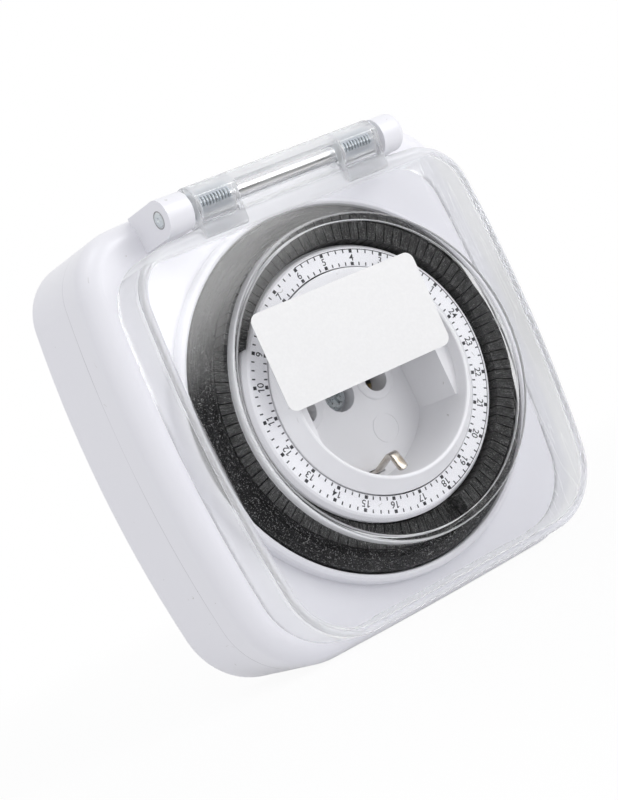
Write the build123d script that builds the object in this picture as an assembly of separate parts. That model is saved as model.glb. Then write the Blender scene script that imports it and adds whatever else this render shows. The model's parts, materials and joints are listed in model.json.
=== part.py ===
from build123d import *
import math
import os

# Frame: origin at the centre of the plug's end face, pins along +Y, front towards -Y,
# hinge at the top (+Z), X along the hinge. Millimetres.

# ---------------------------------------------------------------- driving dimensions
plug_length = 17.0        # plug body behind the housing
plug_r = 18.5
plug_flat_x = 16.8        # side flats of the plug body
pin_r = 2.4
pin_length = 19.0
shank_r = 2.0            # pin inside the plug body
pin_spacing = 19.0

back_y = -plug_length     # housing back face
part_y = -35.2            # joint between the two shells
face_y = -45.5            # housing front face
scale_y = -53.5           # printed scale face of the dial
rim_y = -57.0             # rim of the socket well
floor_y = -39.5           # floor of the socket well
lid_y = -57.1             # outer face of the lid's panel
boss_y = -59.4            # outer face of the lid's round boss
wall = 2.2                # housing wall
lid_wall = 1.5

shoulder_r = 4.2
back_edge_r = 1.4

hinge_y = -55.5
hinge_rise = 3.7          # hinge axis above the lid's top edge
knuckle_r = 4.3
bracket_r = 4.0
rod_r = 1.6
bracket_in = 24.3
bracket_out = 30.1
bracket_drop = 0.2        # bracket's underside below the lid's top edge
knuckle_in = 13.0
knuckle_out = 23.2

well_floor_r = 19.5       # socket well at its floor
well_draft = 0.7
well_wall = 3.5
well_step = 0.55
well_rim_r = well_floor_r + well_draft    # opening of the socket well
well_tube_r = well_floor_r + well_wall
well_collar_r = well_tube_r + well_step
well_flat_x = well_floor_r - 2.5
well_flat_half = 9.9
pin_hole_r = 2.75
pin_ring_r = 4.5

dial_gap = 0.3
dial_width = 3.85         # printed band of the dial
dial_lip = 1.05
dial_bore_r = well_collar_r + dial_gap
dial_face_r = dial_bore_r + dial_width
dial_lip_r = dial_face_r + dial_lip
groove_gap = 0.3
groove_width = 5.2
carrier_rim = 4.05
groove_in_r = dial_lip_r + groove_gap    # annular groove that holds the tappets
groove_out_r = groove_in_r + groove_width
carrier_r = groove_out_r + carrier_rim
recess_gap = 0.3
collar_wall = 1.8
recess_r = carrier_r + recess_gap        # round recess of the front shell
collar_out_r = recess_r + collar_wall
collar_y = -48.6
boss_r = 33.9             # raised round boss of the lid

# outline arcs: half width, top, bottom, height of the widest point, side, top and bottom bow
# radii, upper and lower corner radii
lid_side = 2.2            # lid beyond the collar at the sides, the top and the bottom
lid_above = 1.2
lid_below = 4.2
border_side = 5.5         # housing beyond the lid
border_top = 8.4
border_low = 2.6
lid_half = collar_out_r + lid_side
lid_top = collar_out_r + lid_above
lid_low = collar_out_r + lid_below
housing_half = lid_half + border_side
housing_top = lid_top + border_top
housing_low = lid_low + border_low
lid_outline = (lid_half, lid_top, -lid_low, 9.0, 300.0, 500.0, 1500.0, 11.0, 15.5)
housing_outline = (housing_half, housing_top, -housing_low, 8.0, 262.0, 580.0, 1700.0, 12.5, 17.0)
hinge_z = lid_top + hinge_rise
bracket_low_z = lid_top - bracket_drop

tappet_count = 96
hours = 24
per_hour = tappet_count // hours
first_hour_deg = 12.3     # angle of the 24 h mark from +X, hours run on from it
tappet_gap = 0.2
tappet_stroke = 3.6
tappet_up_y = -54.7
tappet_block = 6.0
stem_in_r = groove_in_r + 1.55
stem_out_r = groove_out_r - 0.85
stem_width = 1.2
stem_length = 5.6
lowered_hours = range(9, 18)

slide_fit = 0.10          # radial play of sliding pieces
run_fit = 0.08            # radial play of turning pieces
seat = 0.05               # play of moulded or pressed seats

module_a = 0.8            # dial gear and idler pinion
dial_teeth = 72
idler_teeth = 12
module_b = 0.5            # idler wheel and motor pinion
wheel_teeth = 36
motor_teeth = 12
gear_play = 0.05
idler_deg = 222.0
motor_deg = -45.0
gear_air = 0.3            # gears above the chassis plate
wheel_width = 1.0
idler_width = 1.2

chassis_y = -36.8
chassis_t = 2.0
motor_r = 12.0
motor_length = 13.6

lever_deg = first_hour_deg + 45 * 360.0 / tappet_count
lever_r = (stem_in_r + stem_out_r) / 2
lever_pivot = 10.0
lever_press = 10.3        # lever held in by a lowered tappet, degrees from its free place
nose_height = 3.2
stem_end_y = tappet_up_y + tappet_stroke + tappet_block + stem_length
lever_y = stem_end_y + 1.5
button_arm = 6.0          # button from the lever's pivot
button_r = 0.7
button_free_y = -33.0     # foot of the button with the lever free
button_travel = (button_arm + button_r) * math.radians(lever_press)

os.makedirs("parts", exist_ok=True)


# ---------------------------------------------------------------- drawing helpers
def meet(c1, r1, c2, r2, lower):
    """Centre of a corner arc: where two circles about c1 and c2 meet on the wanted side."""
    dx = c2[0] - c1[0]
    dz = c2[1] - c1[1]
    d = math.hypot(dx, dz)
    a = (r1 ** 2 - r2 ** 2 + d ** 2) / (2 * d)
    h = math.sqrt(max(r1 ** 2 - a ** 2, 0.0))
    px = c1[0] + a * dx / d
    pz = c1[1] + a * dz / d
    first = (px - h * dz / d, pz + h * dx / d)
    second = (px + h * dz / d, pz - h * dx / d)
    options = [p for p in (first, second) if p[0] > 0]
    return min(options, key=lambda p: p[1]) if lower else max(options, key=lambda p: p[1])


def toward(centre, point, r):
    """Point at distance r from centre on the ray through another point."""
    d = math.hypot(point[0] - centre[0], point[1] - centre[1])
    return (centre[0] + (point[0] - centre[0]) * r / d, centre[1] + (point[1] - centre[1]) * r / d)


def bowed_face(outline, inset, y):
    """Rounded, bowed rectangle offset inwards by inset, on the plane at depth y."""
    half, top, low, wide, side, bow_top, bow_low, corner_top, corner_low = outline
    side_r = side - inset
    top_r = bow_top - inset
    low_r = bow_low - inset
    c_side = (half - side, wide)
    c_top = (0.0, top - bow_top)
    c_low = (0.0, low + bow_low)
    k_top = meet(c_side, side - corner_top, c_top, bow_top - corner_top, False)
    k_low = meet(c_side, side - corner_low, c_low, bow_low - corner_low, True)
    a = (0.0, c_low[1] - low_r)
    b = toward(c_low, k_low, low_r)
    c = toward(c_side, k_low, side_r)
    d = toward(c_side, k_top, side_r)
    e = toward(c_top, k_top, top_r)
    f = (0.0, c_top[1] + top_r)
    m_low = toward(k_low, (100.0 + k_low[0], k_low[1] - 100.0), corner_low - inset)
    m_top = toward(k_top, (100.0 + k_top[0], k_top[1] + 100.0), corner_top - inset)
    mirror = [(-p[0], p[1]) for p in (a, b, c, d, e, f, m_low, m_top)]
    la, lb, lc, ld, le, lf, lm_low, lm_top = mirror
    mid_side = (c_side[0] + side_r, wide)
    mid_left = (-mid_side[0], wide)
    edges = [
        ThreePointArc(lb, a, b),
        ThreePointArc(b, m_low, c),
        ThreePointArc(c, mid_side, d),
        ThreePointArc(d, m_top, e),
        ThreePointArc(e, f, le),
        ThreePointArc(le, lm_top, ld),
        ThreePointArc(ld, mid_left, lc),
        ThreePointArc(lc, lm_low, lb),
    ]
    return Plane.XZ.offset(-y) * make_face(Wire(edges))


def block(outline, inset, y_from, y_to):
    """Bowed block between two depths, y_from behind y_to."""
    return extrude(bowed_face(outline, inset, y_from), amount=y_from - y_to)


def turned(points):
    """Solid of revolution about Y from (radius, depth) points."""
    return revolve(make_face(Plane.XY * Polyline(*points, close=True)), axis=Axis.Y)


def along_y(r, y_from, y_to, x=0.0, z=0.0):
    """Cylinder along Y between two depths, y_from behind y_to."""
    return extrude(Plane.XZ.offset(-y_from) * Location((x, z)) * Circle(r), amount=y_from - y_to)


def along_x(r, x_from, x_to, y, z):
    """Cylinder along X."""
    return extrude(Plane.YZ.offset(x_from) * Location((y, z)) * Circle(r), amount=x_to - x_from)


def bar(x0, x1, y0, y1, z0, z1):
    """Box between the given limits."""
    return Location(((x0 + x1) / 2, (y0 + y1) / 2, (z0 + z1) / 2)) * Box(x1 - x0, y1 - y0, z1 - z0)


def strip_xy(points, thick, z0, z1):
    """Bent strip: a path in the XY plane, half its thickness each side, from z0 to z1."""
    path = Polyline(*points)
    section = offset(path, amount=thick / 2, side=Side.BOTH)
    return extrude(Plane.XY.offset(z0) * make_face(section), amount=z1 - z0)


def bent_yz(points, thick, x0, x1):
    """Bent strip: a path in the YZ plane made of flat runs, from x0 to x1."""
    body = None
    for (ya, za), (yb, zb) in zip(points, points[1:]):
        length = math.hypot(yb - ya, zb - za)
        angle = math.degrees(math.atan2(zb - za, yb - ya))
        run = Rectangle(length, thick)
        placed = Plane.YZ.offset(x0) * Location(((ya + yb) / 2, (za + zb) / 2), angle) * run
        piece = extrude(placed, amount=x1 - x0)
        body = piece if body is None else body + piece
    for y, z in points[1:-1]:
        body = body + extrude(Plane.YZ.offset(x0) * Location((y, z)) * Circle(thick / 2), amount=x1 - x0)
    return body


def gear_face(teeth, module, phase_deg, bore_r):
    """Flat gear blank with straight-flanked teeth, one tooth centred on phase_deg."""
    pitch = module * teeth / 2
    tip = pitch + 0.85 * module
    root = pitch - 1.15 * module
    step = 360.0 / teeth
    points = []
    for i in range(teeth):
        centre = phase_deg + i * step
        for r, half in ((root, 0.36), (tip, 0.13)):
            points.append((r, centre - step * half))
        for r, half in ((tip, 0.13), (root, 0.36)):
            points.append((r, centre + step * half))
    xy = [(r * math.cos(math.radians(t)), r * math.sin(math.radians(t))) for r, t in points]
    return make_face(Polyline(*xy, close=True)) - Circle(bore_r)


def gear(teeth, module, phase_deg, bore_r, y_from, y_to, x=0.0, z=0.0):
    """Spur gear along Y between two depths."""
    face = Plane.XZ.offset(-y_from) * Location((x, z)) * gear_face(teeth, module, phase_deg, bore_r)
    return extrude(face, amount=y_from - y_to)


def polar(r, deg):
    """Point at radius r and angle deg in the XZ plane."""
    return (r * math.cos(math.radians(deg)), r * math.sin(math.radians(deg)))


def spun(shape, deg):
    """Shape turned about Y so that +X goes to the given angle towards +Z."""
    return Rot(0, -deg, 0) * shape


def save(shape, name):
    export_step(shape, "parts/" + name + ".step")


# ---------------------------------------------------------------- shared positions
pin_x = pin_spacing / 2
idler_x, idler_z = polar(module_a * (dial_teeth + idler_teeth) / 2 + gear_play, idler_deg)
motor_dx, motor_dz = polar(module_b * (wheel_teeth + motor_teeth) / 2 + gear_play, motor_deg)
motor_x = idler_x + motor_dx
motor_z = idler_z + motor_dz
post_inset = 12.1
posts = [(sx * (housing_half - post_inset), sz)
         for sx in (-1, 1) for sz in (-housing_low + post_inset + 1.1, housing_top - post_inset + 0.1)]
post_r = 3.4
screw_r = 1.4
carrier_back_y = -41.8
hub_back_y = -38.25
ledge_y = carrier_back_y + 0.1
ledge_back_y = -40.3
ledge_r = carrier_r - 3.4
lever_x, lever_z = polar(lever_r, lever_deg)
bar_y = -34.6
bar_t = 0.8
clip_half = 2.4
clip_z = well_floor_r - 1.8
plug_strip_z = 17.4
pillar_r = 3.2
well_seat_y = floor_y + 3.9


# ---------------------------------------------------------------- front shell
front = block(housing_outline, 0.0, part_y, face_y)
front_edges = front.edges().group_by(Axis.Y)[0]
front = fillet(front_edges, shoulder_r)
front = front - block(housing_outline, wall, part_y, face_y + wall)
recess = turned([
    (ledge_r, ledge_y), (recess_r, ledge_y), (recess_r, collar_y + 0.9), (recess_r + 0.25, collar_y + 0.25),
    (recess_r + 0.7, collar_y), (collar_out_r - 0.9, collar_y), (collar_out_r - 0.3, collar_y + 0.3),
    (collar_out_r, collar_y + 0.9), (collar_out_r, ledge_back_y), (ledge_r, ledge_back_y),
])
front = front - along_y(recess_r, part_y, face_y - 1.0)
front = front + recess
for side in (-1, 1):
    x0 = min(side * bracket_in, side * bracket_out)
    arm = along_x(bracket_r, x0, x0 + bracket_out - bracket_in, hinge_y, hinge_z)
    arm = arm + bar(x0, x0 + bracket_out - bracket_in, hinge_y, face_y + 1.2,
                    bracket_low_z, hinge_z + bracket_r)
    if side > 0:
        outer = arm.faces().sort_by(Axis.X)[-1].edges()
        arm = fillet(outer, 1.6)
    front = front + arm
front = front - along_x(rod_r + seat, -bracket_out - 0.1, bracket_out - 1.6, hinge_y, hinge_z)
for x, z in posts:
    front = front + along_y(post_r, chassis_y, face_y + wall - 0.1, x, z)
for x, z in posts:
    front = front - along_y(screw_r + seat, part_y, face_y + wall + 0.4, x, z)
save(front, "front_shell")

# ---------------------------------------------------------------- rear shell
hollow_r = 16.0
hollow_x = 14.4
strip_half = clip_half + 0.15
rear = block(housing_outline, 0.0, back_y, part_y)
rear = fillet(rear.edges().group_by(Axis.Y)[-1], back_edge_r)
rear = rear - block(housing_outline, wall, back_y - wall - 0.2, part_y)
hollow = along_y(hollow_r, back_y + 0.1, back_y - wall - 0.3)
rear = rear - (hollow & bar(-hollow_x, hollow_x, back_y - wall - 0.4, back_y + 0.2, -17.0, 17.0))
for side in (-1, 1):
    z1 = min(side * (plug_strip_z - 0.45), side * (plug_strip_z + 0.45))
    rear = rear - bar(-strip_half, strip_half, back_y - wall - 0.4, back_y + 0.1, z1, z1 + 0.9)
for x, z in posts:
    rear = rear + along_y(post_r + 0.8, back_y - 0.1, chassis_y + chassis_t, x, z)
for x, z in posts:
    rear = rear - along_y(3.3, back_y + 0.1, back_y - 8.0, x, z)
    rear = rear - along_y(screw_r + seat, back_y - 7.9, part_y - 0.1, x, z)
save(rear, "rear_shell")

# ---------------------------------------------------------------- plug body with its pillar
plug = along_y(plug_r, 0.0, back_y)
plug = fillet(plug.edges().group_by(Axis.Y)[-1], 1.0)
for side in (-1, 1):
    x0 = min(side * plug_flat_x, side * (plug_r + 1))
    plug = plug - bar(x0, x0 + plug_r + 1 - plug_flat_x, back_y - 0.1, 0.5, -12.0, 12.0)
hollow = along_y(hollow_r, -3.0, back_y - 0.1)
plug = plug - (hollow & bar(-hollow_x, hollow_x, back_y - 0.2, -2.9, -17.0, 17.0))
for side in (-1, 1):
    plug = plug - along_y(shank_r + seat, 0.1, -3.1, side * pin_x)
    plug = plug - along_y(pin_r + seat, 0.1, -0.3, side * pin_x)
    z0 = min(side * (plug_strip_z - 0.4), side * (plug_r + 1))
    plug = plug - bar(-strip_half, strip_half, back_y - 0.1, -1.3, z0, z0 + plug_r + 1.4 - plug_strip_z)
plug = plug + along_y(pillar_r, -2.9, bar_y + bar_t)
plug = plug - along_y(1.5 + seat, -14.0, bar_y)
save(plug, "plug_body")

# ---------------------------------------------------------------- chassis plate
tulip_hole_r = 4.7
chassis = block(housing_outline, wall + 1.2, chassis_y + chassis_t, chassis_y)
for x, z in posts:
    chassis = chassis - along_y(screw_r + 0.1, chassis_y + chassis_t + 0.1, chassis_y - 0.1, x, z)
for side in (-1, 1):
    chassis = chassis - along_y(tulip_hole_r, chassis_y + chassis_t + 0.1, chassis_y - 0.1, side * pin_x)
    z0 = min(side * 12.0, side * 18.8)
    chassis = chassis - bar(-4.6, 3.0, chassis_y - 0.1, chassis_y + chassis_t + 0.1, z0, z0 + 6.8)
chassis = chassis - along_y(5.5, chassis_y + chassis_t + 0.1, chassis_y - 0.1)
chassis = chassis - along_y(1.4, chassis_y + chassis_t + 0.1, chassis_y - 0.1, motor_x, motor_z)
chassis = chassis - along_y(0.95, chassis_y + chassis_t + 0.1, chassis_y - 0.1, idler_x, idler_z)
ears = None
for r0 in (lever_r - 3.4, lever_r + 2.2):
    ear = bar(r0, r0 + 1.2, lever_y - 1.2, chassis_y + 0.2, lever_pivot - 1.3, lever_pivot + 1.3)
    ears = ear if ears is None else ears + ear
pin_bore = along_x(0.8, lever_r - 3.5, lever_r + 3.5, lever_y, lever_pivot)
window = bar(lever_r - 1.9, lever_r + 1.9, chassis_y - 0.1, chassis_y + chassis_t + 0.1, -2.5, 11.8)
chassis = chassis + spun(ears, lever_deg) - spun(window, lever_deg) - spun(pin_bore, lever_deg)
save(chassis, "chassis_plate")

# ---------------------------------------------------------------- socket well, its wall
wall_tube = turned([
    (well_floor_r, floor_y), (well_rim_r, rim_y + 0.5), (well_rim_r + 0.15, rim_y + 0.15),
    (well_rim_r + 0.5, rim_y), (well_rim_r + 0.8, rim_y + 0.1), (well_collar_r, scale_y - 0.3),
    (well_collar_r, scale_y + 2.0), (well_tube_r, scale_y + 2.0), (well_tube_r, floor_y),
])
for side in (-1, 1):
    x0 = min(side * well_flat_x, side * (well_flat_x + 4.0))
    rib = bar(x0, x0 + 4.0, scale_y, floor_y, -well_flat_half, well_flat_half)
    wall_tube = wall_tube + (rib & along_y(well_tube_r - 1.6, floor_y, scale_y - 0.5))
save(wall_tube, "socket_well")

# ---------------------------------------------------------------- floor of the socket well
well = along_y(well_tube_r, chassis_y, floor_y)
for side in (-1, 1):
    ring = along_y(pin_ring_r, chassis_y + 3.0, floor_y - 0.6, side * pin_x)
    ring = fillet(ring.edges().group_by(Axis.Y)[0], 0.5)
    well = well + ring
well = well + along_y(5.2, bar_y, floor_y + 0.1)
for side in (-1, 1):
    well = well - along_y(pin_hole_r, chassis_y + 3.1, floor_y - 1.0, side * pin_x)
    z0 = min(side * (clip_z - 0.6), side * (clip_z + 0.6))
    well = well - bar(-4.2, clip_half + 0.15, floor_y - 0.1, chassis_y + 0.1, z0, z0 + 1.2)
well = well - along_y(3.6, well_seat_y, floor_y - 0.1)
well = well - along_y(1.6, bar_y + 0.1, well_seat_y - 0.1)
well = well + (along_y(3.2, floor_y + 0.5, floor_y - 0.15, 7.2, -10.3)
               - along_y(2.95, floor_y + 0.5, floor_y - 0.2, 7.2, -10.3))
save(well, "well_floor")

# ---------------------------------------------------------------- dial ring and tappet carrier
dial_back_y = scale_y + 2.9
dial = turned([
    (dial_bore_r, scale_y), (dial_face_r, scale_y), (dial_face_r + 0.45, scale_y + 0.35),
    (dial_lip_r, scale_y + 1.5), (dial_lip_r, dial_back_y), (dial_bore_r, dial_back_y),
])
save(dial, "dial_ring")

step_y = scale_y + 2.2
carrier_bore_r = well_tube_r + run_fit
groove_y = tappet_up_y + tappet_block + tappet_stroke + 0.1
carrier = turned([
    (carrier_bore_r, step_y + 0.7), (dial_lip_r + 0.05, dial_back_y), (dial_lip_r + 0.05, dial_back_y + 0.6),
    (groove_in_r - 0.2, dial_back_y + 0.6), (groove_in_r, dial_back_y + 0.8), (groove_in_r, groove_y),
    (groove_out_r, groove_y), (groove_out_r, -50.8), (groove_out_r + 0.5, -50.8),
    (groove_out_r + 0.5, -50.45), (groove_out_r + 1.0, -50.45), (groove_out_r + 1.0, -50.15),
    (groove_out_r + 1.5, -50.15), (carrier_r - 0.4, -48.75), (carrier_r, -48.3),
    (carrier_r, carrier_back_y), (carrier_bore_r, carrier_back_y),
])
hub = gear(dial_teeth, module_a, idler_deg + 180.0 / dial_teeth, carrier_bore_r, hub_back_y, carrier_back_y)
carrier = carrier + hub
slots = []
for i in range(tappet_count):
    deg = first_hour_deg + (i + 0.5) * 360.0 / tappet_count
    slot = bar(stem_in_r - slide_fit, stem_out_r + slide_fit, groove_y - 0.5, carrier_back_y + 0.5,
               -stem_width / 2 - slide_fit, stem_width / 2 + slide_fit)
    slots.append(spun(slot, deg))
carrier = carrier.cut(*slots)
save(carrier, "tappet_carrier")


# ---------------------------------------------------------------- tappets, four to the hour
def tappet(index, top_y):
    """One wedge-shaped tappet with its stem."""
    step = math.radians(180.0 / tappet_count)
    r0 = groove_in_r + slide_fit
    r1 = groove_out_r - slide_fit
    x0 = r0
    x1 = r1 * math.cos(step)
    z0 = x0 * math.tan(step) - tappet_gap / 2
    z1 = x1 * math.tan(step) - tappet_gap / 2
    wedge = make_face(Polyline((x0, -z0), (x1, -z1), (x1, z1), (x0, z0), close=True))
    head = extrude(Plane.XZ.offset(-top_y - tappet_block) * wedge, amount=tappet_block)
    stem = bar(stem_in_r, stem_out_r, top_y + tappet_block, top_y + tappet_block + stem_length,
               -stem_width / 2, stem_width / 2)
    deg = first_hour_deg + (index + 0.5) * 360.0 / tappet_count
    return spun(head + stem, deg)


for hour in range(hours):
    top = tappet_up_y + (tappet_stroke if hour in lowered_hours else 0.0)
    group = [tappet(hour * per_hour + k, top) for k in range(per_hour)]
    save(Compound(children=group), "tappets_%02d" % hour)

# ---------------------------------------------------------------- lid
lid_base_y = face_y - 0.1
lid = block(lid_outline, 0.0, lid_base_y, lid_y)
lid = fillet(lid.edges().group_by(Axis.Y)[0], 2.2)
lid = lid - block(lid_outline, lid_wall, lid_base_y + 0.1, lid_y + lid_wall)
raised = turned([
    (0.0, boss_y), (boss_r - 1.3, boss_y), (boss_r - 0.5, boss_y + 0.35), (boss_r - 0.1, boss_y + 1.2),
    (boss_r, lid_y + 0.5), (0.0, lid_y + 0.5),
])
lid = lid + raised
under = turned([
    (0.0, boss_y + lid_wall), (boss_r - 2.0, boss_y + lid_wall), (boss_r - 1.7, boss_y + lid_wall + 0.4),
    (boss_r - 1.7, lid_y + 2.0), (0.0, lid_y + 2.0),
])
lid = lid - under
for side in (-1, 1):
    x0 = min(side * knuckle_in, side * knuckle_out)
    x1 = x0 + knuckle_out - knuckle_in
    knuckle = along_x(knuckle_r, x0, x1, hinge_y, hinge_z)
    tab = bar(x0, x1, lid_y - 0.9, lid_y + 1.0, lid_top - 3.2, hinge_z - 1.0)
    lid = lid + knuckle + tab
tube = along_x(knuckle_r, -knuckle_in, knuckle_in, hinge_y, hinge_z)
tube = tube - along_x(knuckle_r - 1.1, -knuckle_in, knuckle_in, hinge_y, hinge_z)
opening = bar(-knuckle_in, knuckle_in, hinge_y - 6.0, hinge_y + 1.2, hinge_z - 6.0, hinge_z + 1.2)
lid = lid + (tube - opening)
for side in (-1, 1):
    x0 = min(side * (knuckle_in + 1.0), side * (knuckle_out - 1.0))
    x1 = x0 + knuckle_out - knuckle_in - 2.0
    lid = lid - along_x(3.4, x0, x1, hinge_y, hinge_z)
lid = lid - along_x(rod_r + run_fit, -knuckle_out - 0.1, knuckle_out + 0.1, hinge_y, hinge_z)
lid = lid - along_y(collar_out_r + 0.3, lid_base_y + 0.1, collar_y - 0.35)
swing_x = 17.0            # top wall cut short where it swings over the collar
lid = lid - bar(-swing_x, swing_x, collar_y - 0.4, lid_base_y + 0.1, lid_top - 4.0, lid_top + 0.5)
for x in (-21.4, 21.4):
    lid = lid - bar(x - 2.8, x + 2.8, lid_base_y - 1.2, lid_base_y + 0.1, -lid_low - 1.4, -lid_low + 2.6)
save(lid, "lid")

label_width = 41.5
label_height = 20.6
label_corner = 2.0
label_place = Location((-2.9, 10.7), -0.7)
label = Plane.XZ.offset(-boss_y) * label_place * RectangleRounded(label_width, label_height, label_corner)
save(extrude(label, amount=0.12), "blank_label")

# ---------------------------------------------------------------- hinge rod and springs
save(along_x(rod_r, -bracket_out, bracket_out - 1.7, hinge_y, hinge_z), "hinge_rod")
spring_turns = 9.5
spring_length = 7.2
for side, name in ((-1, "spring_left"), (1, "spring_right")):
    start = side * (knuckle_in + 1.5) if side > 0 else -(knuckle_out - 1.5)
    path = Helix(spring_length / spring_turns, spring_length, 2.65)
    profile = Plane(origin=path @ 0, z_dir=path % 0) * RegularPolygon(0.3, 6)
    coil = sweep(profile, path=path, is_frenet=True)
    coil = Pos(start, hinge_y, hinge_z) * (Rot(0, 90, 0) * coil)
    save(coil, name)

# ---------------------------------------------------------------- plug pins and contacts
for side, name in ((-1, "pin_live"), (1, "pin_neutral")):
    pin = along_y(pin_r, pin_length, 0.0, side * pin_x)
    pin = fillet(pin.edges().group_by(Axis.Y)[-1], 1.3)
    pin = pin + along_y(shank_r, 0.1, -14.0, side * pin_x)
    save(pin, name)
for side, name in ((-1, "contact_live"), (1, "contact_neutral")):
    back = -14.0 if side > 0 else -22.4
    tulip = along_y(3.4, -24.0, chassis_y + 3.1, side * pin_x)
    tulip = tulip - along_y(2.45, -25.0, chassis_y + 3.0, side * pin_x)
    tulip = tulip - bar(side * pin_x - 4, side * pin_x + 4, chassis_y + 3.0, -25.4, -0.5, 0.5)
    tulip = tulip + along_y(2.2, back, -24.2, side * pin_x)
    if side < 0:
        tulip = tulip + bar(lever_x + 3.3, -pin_x - 2.0, -25.0, -24.2, -2.5, 2.5)
    save(tulip, name)
feed = bar(lever_x - 1.0, -pin_x + 2.0, -21.4, -20.6, -2.5, 2.5)
feed = feed + bar(-pin_x - 2.0, -pin_x + 2.0, -20.7, -14.0, -2.0, 2.0)
feed = feed + bar(lever_x - 1.0, lever_x - 0.2, -24.8, -20.6, -2.5, 2.5)
save(feed, "live_feed")

# ---------------------------------------------------------------- earth parts
save(bar(-3.0, 3.0, bar_y, bar_y + bar_t, -18.1, 18.1) - along_y(1.6, bar_y + 1.0, bar_y - 0.1), "earth_bar")
clips = []
strips = []
for side in (-1, 1):
    clip_path = [(bar_y - 0.4, 13.0), (bar_y - 0.4, clip_z), (-41.5, clip_z), (-49.0, 15.2), (-50.7, 18.9)]
    clip = bent_yz([(y, side * z) for y, z in clip_path], 0.8, -clip_half, clip_half)
    clips.append(clip)
    strip_path = [(bar_y + bar_t + 0.4, 13.0), (bar_y + bar_t + 0.4, plug_strip_z), (-1.5, plug_strip_z)]
    strips.append(bent_yz([(y, side * z) for y, z in strip_path], 0.8, -clip_half, clip_half))
save(Compound(children=clips), "earth_clips")
save(Compound(children=strips), "plug_earth_strips")

# ---------------------------------------------------------------- screws
head = along_y(2.9, well_seat_y, well_seat_y - 1.8)
head = fillet(head.edges().group_by(Axis.Y)[0], 0.8)
cross = bar(-1.7, 1.7, well_seat_y - 2.0, well_seat_y - 0.7, -0.35, 0.35)
cross = cross + bar(-0.35, 0.35, well_seat_y - 2.0, well_seat_y - 0.7, -1.7, 1.7)
save(head + along_y(1.5, -22.0, well_seat_y - 0.1) - spun(cross, 20.0), "well_screw")
screws = []
for x, z in posts:
    screw = along_y(2.8, back_y - 6.2, back_y - 8.0, x, z)
    screw = screw + along_y(screw_r, back_y - 7.9, face_y + wall + 1.4, x, z)
    slot = bar(x - 1.8, x + 1.8, back_y - 7.2, back_y - 6.1, z - 0.35, z + 0.35)
    slot = slot + bar(x - 0.35, x + 0.35, back_y - 7.2, back_y - 6.1, z - 1.8, z + 1.8)
    screws.append(screw - slot)
save(Compound(children=screws), "shell_screws")

# ---------------------------------------------------------------- drive
gear_back_y = chassis_y - gear_air
gear_mid_y = gear_back_y - wheel_width
gear_front_y = gear_mid_y - idler_width
motor_y = chassis_y + chassis_t
motor = along_y(motor_r, motor_y + motor_length, motor_y, motor_x, motor_z)
motor = fillet(motor.edges().group_by(Axis.Y)[-1], 0.8)
motor = motor - along_y(1.0, motor_y + 4.0, motor_y - 0.1, motor_x, motor_z)
save(motor, "motor")
pinion = gear(motor_teeth, module_b, motor_deg + 180.0, 0.3, gear_back_y, gear_mid_y, motor_x, motor_z)
pinion = pinion + along_y(0.9, motor_y + 3.8, gear_mid_y, motor_x, motor_z)
save(pinion, "motor_pinion")
axle_r = 0.9
idler_bore_r = axle_r + run_fit
idler = gear(idler_teeth, module_a, idler_deg + 180.0, idler_bore_r, gear_mid_y, gear_front_y,
             idler_x, idler_z)
wheel_phase = motor_deg + 180.0 / wheel_teeth
wheel = gear(wheel_teeth, module_b, wheel_phase, idler_bore_r, gear_back_y, gear_mid_y,
             idler_x, idler_z)
save(idler + wheel, "idler_gear")
axle = along_y(axle_r, chassis_y + chassis_t, gear_front_y, idler_x, idler_z)
save(axle, "gear_axle")

# ---------------------------------------------------------------- switch and lever
free_apex_y = lever_y - nose_height
nose_mid_y = free_apex_y + 1.75
shift = 0.17
lever = bar(lever_r - 1.6, lever_r + 1.6, lever_y - 0.6, lever_y + 0.6, -1.0, lever_pivot)
lever = lever + along_x(1.3, lever_r - 1.6, lever_r + 1.6, lever_y, lever_pivot)
nose = Polyline((lever_y - 0.5, shift - 0.5), (nose_mid_y, shift - 0.5), (nose_mid_y, shift - 0.3),
                (free_apex_y, shift - 0.1), (free_apex_y, shift + 0.1), (nose_mid_y, shift + 0.3),
                (nose_mid_y, shift + 0.5), (lever_y - 0.5, shift + 0.5), close=True)
nose = extrude(Plane.YZ.offset(lever_r - 1.0) * make_face(nose), amount=2.0)
lever = lever + nose - along_x(0.8 + run_fit, lever_r - 1.7, lever_r + 1.7, lever_y, lever_pivot)
lever = Pos(0, lever_y, lever_pivot) * Rot(lever_press, 0, 0) * Pos(0, -lever_y, -lever_pivot) * lever
save(spun(lever, lever_deg), "switch_lever")
save(spun(along_x(0.8 - 0.02, lever_r - 3.4, lever_r + 3.4, lever_y, lever_pivot), lever_deg), "lever_pin")
button_z = lever_pivot - button_arm
switch = bar(lever_r - 3.2, lever_r + 3.2, chassis_y + chassis_t, -24.8, -12.0, 9.5)
switch = switch - along_y(button_r + run_fit, button_free_y + 2.0, chassis_y, lever_r, button_z)
save(spun(switch, lever_deg), "micro_switch")
button_top_y = lever_y + 0.7 + button_travel
button = along_y(button_r, button_free_y + button_travel, button_top_y, lever_r, button_z)
save(spun(button, lever_deg), "switch_button")
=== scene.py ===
import json
import math
import bmesh
import bpy
from mathutils import Matrix, Vector

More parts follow.
